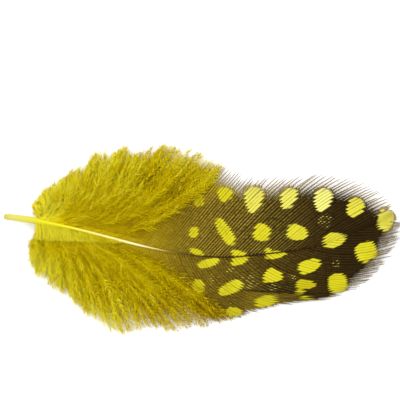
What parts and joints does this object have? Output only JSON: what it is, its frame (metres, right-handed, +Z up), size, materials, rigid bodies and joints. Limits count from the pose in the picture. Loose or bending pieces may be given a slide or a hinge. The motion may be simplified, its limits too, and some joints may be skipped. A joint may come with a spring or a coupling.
{
  "type": "guinea fowl feather",
  "caption": "Curved body feather with a bare quill, a spotted vane on each side of its shaft and a broad downy base, lying on its hollow side.",
  "frame": {"origin": "middle of the feather's box in plan, at table height", "axes": "+X from the root of the quill to the tip of the vane, +Y towards the side that is up in the picture, +Z up from the table"},
  "size_m": [0.0752, 0.0356, 0.0056],
  "materials": {
    "dyed_down": "dull dyed yellow down and spots",
    "dark_vane": "dark olive-brown barbs, slightly silky along each barb",
    "quill": "pale yellow horn, satin"
  },
  "bodies": {
    "root": {"feather": "dyed_down"}
  },
  "joints": []
}
